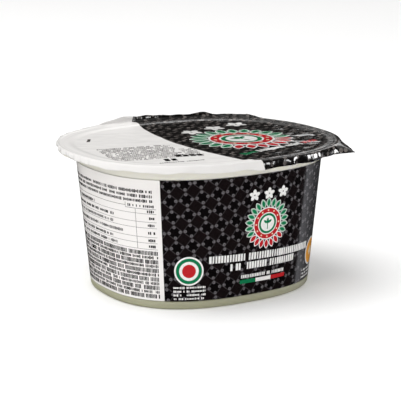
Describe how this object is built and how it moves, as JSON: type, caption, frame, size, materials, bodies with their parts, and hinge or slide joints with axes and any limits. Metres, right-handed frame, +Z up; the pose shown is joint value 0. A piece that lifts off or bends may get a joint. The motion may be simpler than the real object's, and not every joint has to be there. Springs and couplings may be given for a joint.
{
  "type": "sealed cheese tub",
  "caption": "Shut oval plastic tub of fresh cheese in its liquid, with a flush printed label and a heat-sealed film lid with a pull tab at one corner.",
  "frame": {"origin": "middle of the flat base that the tub stands on", "axes": "+Z up through the lid, +X along the tub's longer side towards the black-printed end, +Y across it; the pull tab points between +X and -Y"},
  "size_m": [0.1376, 0.1223, 0.0739],
  "materials": {
    "milky_plastic": "translucent moulded polypropylene, lightly glossy",
    "printed_label": "glossy in-mould label, black lattice with one white panel",
    "printed_film": "glossy printed sealing film, white and black"
  },
  "bodies": {
    "root": {"tub": "milky_plastic", "label": "printed_label", "lid_film": "printed_film"}
  },
  "joints": []
}
